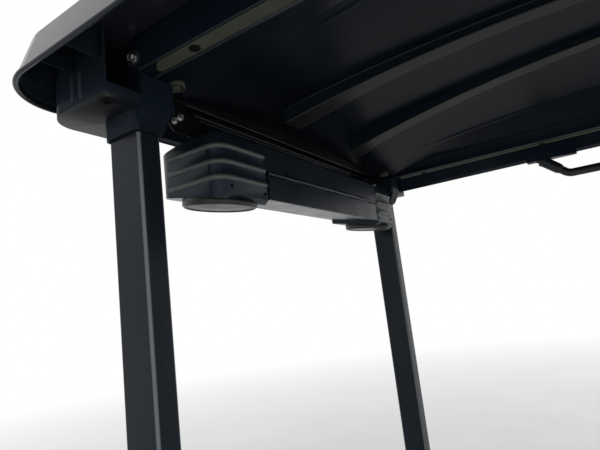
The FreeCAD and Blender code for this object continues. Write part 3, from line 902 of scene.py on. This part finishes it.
def channel_webs(end_name, end, side_name, side):
    """Webs between the boss and the rim: two across the channel and one into the corner."""
    mesh = bmesh.new()
    for along in WEBS_ALONG:
        x = STRUT_TOP_X[end_name] + end * along
        corners = [
            (x, side * BOSS_OUTBOARD, WEB_BOTTOM),
            (x, side * rim_inside(WEB_BOTTOM), WEB_BOTTOM),
            (x, side * rim_inside(WEB_TOP), WEB_TOP),
            (x, side * BOSS_OUTBOARD, WEB_TOP),
        ]
        slab(mesh, corners, (end * WEB_THICKNESS, 0, 0))

    outward = Vector((end, side, 0)).normalized()
    boss_x = STRUT_TOP_X[end_name] + end * (BOSS_OUTER_REACH - BOSS_CORNER)
    boss_centre = Vector((boss_x, side * (BOSS_OUTBOARD - BOSS_CORNER), 0))
    near = boss_centre + outward * (BOSS_CORNER - 0.001)
    rim_centre = Vector((
        end * (HALF_LENGTH - CORNER_RADIUS),
        side * (HALF_WIDTH - CORNER_RADIUS),
        0,
    ))

    def far(z):
        return rim_centre + outward * (CORNER_RADIUS - (HALF_WIDTH - rim_inside(z)))

    corners = [
        near + Vector((0, 0, WEB_BOTTOM)),
        far(WEB_BOTTOM) + Vector((0, 0, WEB_BOTTOM)),
        far(WEB_TOP) + Vector((0, 0, WEB_TOP)),
        near + Vector((0, 0, WEB_TOP)),
    ]
    slab(mesh, corners, Vector((-outward.y, outward.x, 0)) * WEB_THICKNESS)
    name = f"channel_webs_{end_name}_{side_name}"
    place_piece(name, mesh, "undercoat", bevel=0.0007)


def hole_grommet(end_name, end, side_name, side):
    """Rubber grommet in the boss's access hole."""
    profile = (
        (0.0045, 0.004),
        (0.0045, 0.0006),
        (0.0055, 0.0),
        (0.0088, 0.0004),
        (0.0094, 0.0012),
        (0.0068, 0.0014),
        (0.0068, 0.004),
    )
    x = STRUT_TOP_X[end_name] + end * ACCESS_ALONG
    mesh = bmesh.new()
    lathe(mesh, profile, (x, side * ACCESS_Y, BOSS_BOTTOM - 0.0012), (0, 0, 1), 32)
    place_piece(f"hole_grommet_{end_name}_{side_name}", mesh, "rubber")


def drain_plug(end_name, end, side_name, side):
    """Round plug in the ceiling's corner, with a raised boss in its cup; its light olive colour is
    a painted highlight.
    """
    profile = (
        (0.0, 0.0),
        (0.0155, 0.0),
        (0.0155, 0.0085),
        (0.0148, 0.0096),
        (0.0132, 0.0100),
        (0.0120, 0.0092),
        (0.0116, 0.0078),
        (0.0114, 0.0035),
        (0.0092, 0.0035),
        (0.0090, 0.0102),
        (0.0078, 0.0112),
        (0.0, 0.0116),
    )
    x = STRUT_TOP_X[end_name] + end * PLUG_ALONG
    mesh = bmesh.new()
    lathe(mesh, profile, (x, side * PLUG_Y, ceiling_z(x, PLUG_Y) + 0.005), (0, 0, -1))
    place_piece(f"drain_plug_{end_name}_{side_name}", mesh, "strip")


def beam_bolt(end_name, end, side_name, side):
    """Bolt through the beam's end, in a moulded cup."""
    at = (STRUT_TOP_X[end_name] + end * BOLT_ALONG, side * BEAM_OUTBOARD, BOLT_Z)
    mesh = bmesh.new()
    hex_bolt(mesh, at, (0, side, 0), *BEAM_BOLT)
    place_piece(f"beam_bolt_{end_name}_{side_name}", mesh, "zinc")
    # The cup's lighter plastic paints a highlight ring round the bolt.
    mesh = bmesh.new()
    lathe(mesh, ring_profile(0.0086, 0.0120, 0.0026, 0.0009), at, (0, side, 0))
    place_piece(f"bolt_cup_{end_name}_{side_name}", mesh, "edge")


# Struts

def strut_x(end_name, z):
    """Place of a strut's axis along the cart, at a height."""
    share = (STRUT_TOP - z) / (STRUT_TOP - FOOT_TOP)
    return STRUT_TOP_X[end_name] + (STRUT_FOOT_X[end_name] - STRUT_TOP_X[end_name]) * share


def strut_seal(end_name, end, side_name, side):
    """Rubber seal where a strut enters its collar."""
    gap = 0.0002
    x = strut_x(end_name, COLLAR_BOTTOM)
    path = loop_path(
        x, side * STRUT_Y,
        STRUT_HALF_LENGTH + gap, STRUT_HALF_WIDTH + gap, STRUT_CORNER,
        COLLAR_BOTTOM - 0.0004, 6,
    )
    mesh = bmesh.new()
    sweep_round(mesh, path, round_section(0.0022, 10, 0.7))
    place_piece(f"strut_seal_{end_name}_{side_name}", mesh, "rubber")


def foot_weld(end_name, end, side_name, side):
    """Rippled weld round the strut on its foot plate."""
    x = strut_x(end_name, FOOT_TOP)
    turns = loop_path(
        x, side * STRUT_Y, STRUT_HALF_LENGTH, STRUT_HALF_WIDTH, STRUT_CORNER, FOOT_TOP, 5)
    path = []
    for (point, outward), (following, _) in zip(turns, turns[1:] + turns[:1]):
        steps = max(1, round((following - point).length / WELD_STEP))
        for step in range(steps):
            path.append((point.lerp(following, step / steps), outward))
    section = ((0.0, 0.0), (1.0, 0.0), (0.72, 0.55), (0.42, 0.85), (0.0, 1.0))
    mesh = bmesh.new()
    rows = []
    for index, (point, outward) in enumerate(path):
        size = WELD_SIZE + WELD_RIPPLE * math.sin(index * 2.1)
        corners = [point + outward * size * out + Vector((0, 0, size * up)) for out, up in section]
        rows.append([mesh.verts.new(corner) for corner in corners])
    for row, following in zip(rows, rows[1:] + rows[:1]):
        for place in range(len(section) - 1):
            beyond = place + 1
            mesh.faces.new((row[place], row[beyond], following[beyond], following[place]))
    place_piece(f"foot_weld_{end_name}_{side_name}", mesh, "strut")


# Console and its hangers

def console_screws(side_name, side):
    """Screws in the console's end."""
    profile = ((0.0, 0.0002), (0.0012, 0.0002), (0.0014, 0.0010), (0.0028, 0.0008), (0.0034, 0.0))
    mesh = bmesh.new()
    for y, z in CONSOLE_SCREWS:
        lathe(mesh, profile, (CONSOLE_FRONT, side * y, z), (1, 0, 0), 20)
    place_piece(f"console_screws_{side_name}", mesh, "rubber")


def console_ribs(side_name, side):
    """Lighter skin on the raised ribs that run round the console's end and taper out: a painted
    highlight on the ribs.
    """
    turn_angles = [math.radians(9.0 * step) for step in range(11)]
    taper_angles = [math.radians(15.0 * step) for step in range(7)]
    mesh = bmesh.new()
    for level in CONSOLE_RIB_LEVELS:
        corner = Vector((
            CONSOLE_FRONT - CONSOLE_CORNER,
            side * (CONSOLE_HALF_WIDTH - CONSOLE_CORNER),
            level,
        ))
        points = [Vector((CONSOLE_REAR + CONSOLE_REAR_CORNER, side * CONSOLE_HALF_WIDTH, level))]
        for angle in turn_angles:
            outward = Vector((math.sin(angle), side * math.cos(angle), 0))
            points.append(corner + outward * CONSOLE_CORNER)
        radii = [CONSOLE_RIB_RADIUS] * len(points)
        for angle in taper_angles:
            end_y = CONSOLE_RIB_END - CONSOLE_RIB_RADIUS * math.sin(angle)
            points.append(Vector((CONSOLE_FRONT, side * end_y, level)))
            radii.append(max(0.0003, CONSOLE_RIB_RADIUS * math.cos(angle)))
        tube(mesh, points, [radius + CONSOLE_RIB_COVER for radius in radii])
    place_piece(f"console_ribs_{side_name}", mesh, "rib")


def pod_ring(side_name, side):
    """Trim ring round the pod's face, on its slope."""
    profile = (
        (0.0560, 0.0),
        (0.0564, -0.0016),
        (0.0580, -0.0022),
        (0.0596, -0.0016),
        (0.0600, 0.0),
    )
    tilt = Vector((POD_SLOPE, 0, 1)).normalized()
    middle = Vector((POD_AT.x, side * POD_AT.y, POD_AT.z))
    mesh = bmesh.new()
    lathe(mesh, profile, middle - tilt * 0.0006, tilt, 72)
    place_piece(f"pod_ring_{side_name}", mesh, "pod")


def hanger_details(side_name, side):
    """Stiffening plate and bolts of the console's hanger."""
    plate = (
        (0.4272, 1.4045),
        (0.4272, 1.3850),
        (0.3977, 1.3495),
        (0.3219, 1.3495),
        (0.3906, 1.4045),
    )
    mesh = bmesh.new()
    slab(mesh, [(HANGER_FRONT, side * y, z) for y, z in plate], (HANGER_PLATE, 0, 0))
    place_piece(f"hanger_plate_{side_name}", mesh, "frame", bevel=0.0009)

    mesh = bmesh.new()
    for y, z in HANGER_BOLTS:
        at = (HANGER_FRONT + HANGER_PLATE, side * y, z)
        hex_bolt(mesh, at, (1, 0, 0), *HANGER_BOLT)
    place_piece(f"hanger_bolts_{side_name}", mesh, "zinc")

    mesh = bmesh.new()
    for y in HANGER_TOP_BOLTS_Y:
        at = (HANGER_TOP_BOLTS_X, side * y, CROSS_BEAM_BOTTOM - FLANGE)
        hex_bolt(mesh, at, (0, 0, -1), *FLANGE_BOLT)
    for y in HANGER_FOOT_BOLTS_Y:
        at = (HANGER_FOOT_BOLTS_X, side * y, CONSOLE_TOP + FLANGE)
        hex_bolt(mesh, at, (0, 0, 1), *FLANGE_BOLT)
    place_piece(f"flange_bolts_{side_name}", mesh, "frame")


def handle_sleeves(side_name, side):
    """Thick moulded sleeves on the handle's legs, from the roof down to its bends."""
    bore = HANDLE_RADIUS + 0.0002
    profile = (
        (bore, 0.0),
        (0.0122, 0.0020),
        (0.0138, 0.0070),
        (0.0143, 0.0140),
        (0.0146, SLEEVE_LENGTH - 0.0060),
        (0.0156, SLEEVE_LENGTH - 0.0030),
        (0.0156, SLEEVE_LENGTH),
        (bore, SLEEVE_LENGTH),
    )
    mesh = bmesh.new()
    for end in (-1, 1):
        leg = Vector((end * HANDLE_LEG_RUN, 0, HANDLE_LEG_DROP)).normalized()
        top = Vector((HANDLE_X + end * SLEEVE_ALONG, side * HANDLE_Y, SLEEVE_TOP))
        lathe(mesh, profile, top - leg * SLEEVE_LENGTH, leg, 36)
    place_piece(f"handle_sleeves_{side_name}", mesh, "grip")


# Light and ground

def make_floor():
    """Pale floor that fades into the white background away from the canopy."""
    mesh = bmesh.new()
    radii = (0.0, 0.5, 1.0, 2.0, 4.0, 8.0, 16.0, 30.0)
    lathe(mesh, [(radius, 0.0) for radius in radii], (0, 0, 0), (0, 0, 1), 64)
    data = bpy.data.meshes.new("floor")
    mesh.to_mesh(data)
    mesh.free()
    graph = Graph("pale_floor", 0.65, 0.2)
    tone = graph.remap(graph.noise(1.6, 4.0), 0.3, 0.7, 0.0, 1.0)
    graph.colour(graph.blend(tone, rgb(0.70, 0.70, 0.70), rgb(0.76, 0.76, 0.76)))
    graph.bump(graph.noise(240.0, 3.0), 0.0004, 0.3)
    length = graph.add("ShaderNodeVectorMath", {0: graph.place}, operation="LENGTH")
    fade = graph.remap(length.outputs["Value"], 1.8, 7.0, 0.0, 1.0)
    path = graph.add("ShaderNodeLightPath").outputs
    seen = graph.compute("MAXIMUM", path["Is Camera Ray"], path["Is Glossy Ray"])
    seen = graph.compute("MAXIMUM", seen, path["Is Transmission Ray"])
    white = graph.add("ShaderNodeEmission", {"Color": rgb(1, 1, 1), "Strength": 1.0})
    mix = graph.add("ShaderNodeMixShader", {
        0: graph.compute("MULTIPLY", seen, fade),
        1: graph.shader.outputs[0],
        2: white.outputs[0],
    })
    output = graph.tree.nodes["Material Output"]
    graph.tree.links.new(mix.outputs[0], output.inputs["Surface"])
    data.materials.append(graph.material)
    floor = bpy.data.objects.new("floor", data)
    bpy.context.scene.collection.objects.link(floor)


def make_world():
    """White to the camera and in reflections, softer as a light."""
    world = bpy.data.worlds.new("studio")
    bpy.context.scene.world = world
    world.use_nodes = True
    nodes, links = world.node_tree.nodes, world.node_tree.links
    nodes.clear()
    path = nodes.new("ShaderNodeLightPath")
    seen = path.outputs["Is Camera Ray"]
    for name in ("Is Glossy Ray", "Is Transmission Ray"):
        either = nodes.new("ShaderNodeMath")
        either.operation = "MAXIMUM"
        links.new(seen, either.inputs[0])
        links.new(path.outputs[name], either.inputs[1])
        seen = either.outputs[0]
    mix = nodes.new("ShaderNodeMixShader")
    links.new(seen, mix.inputs[0])
    for place, strength in ((1, 0.75), (2, 1.0)):
        light = nodes.new("ShaderNodeBackground")
        light.inputs["Color"].default_value = rgb(1, 1, 1)
        light.inputs["Strength"].default_value = strength
        links.new(light.outputs[0], mix.inputs[place])
    links.new(mix.outputs[0], nodes.new("ShaderNodeOutputWorld").inputs[0])


def area_light(name, at, target, size, power):
    """Soft light that isn't seen itself, nor as a glare on the gloss."""
    data = bpy.data.lights.new(name, "AREA")
    data.shape = "RECTANGLE"
    data.size, data.size_y = size
    data.energy = power
    light = bpy.data.objects.new(name, data)
    light.location = at
    light.visible_camera = False
    light.visible_glossy = False
    aim = Vector(target) - Vector(at)
    light.rotation_euler = aim.to_track_quat("-Z", "Y").to_euler()
    bpy.context.scene.collection.objects.link(light)


# Details made on each side, and those made at each corner with the same four arguments
SIDE_DETAILS = (
    beam_strip,
    beam_edges,
    strip_seats,
    beam_joints,
    ceiling_ribs,
    ceiling_lines,
    console_screws,
    console_ribs,
    pod_ring,
    hanger_details,
    handle_sleeves,
)
CORNER_DETAILS = (
    boss_flutes,
    boss_front,
    collar_shroud,
    channel_webs,
    hole_grommet,
    drain_plug,
    beam_bolt,
    strut_seal,
    foot_weld,
)

make_camera()
finish_cad_nodes()
rim_details()
for side_name, side in SIDES:
    for make_detail in SIDE_DETAILS:
        make_detail(side_name, side)
    for end_name, end in ENDS:
        for make_detail in CORNER_DETAILS:
            make_detail(end_name, end, side_name, side)
make_floor()
make_world()
area_light("key", at=(2.5, -2.5, 3.2), target=(0, 0, 1.2), size=(3.8, 2.8), power=130)
bpy.context.scene.view_settings.view_transform = "Standard"
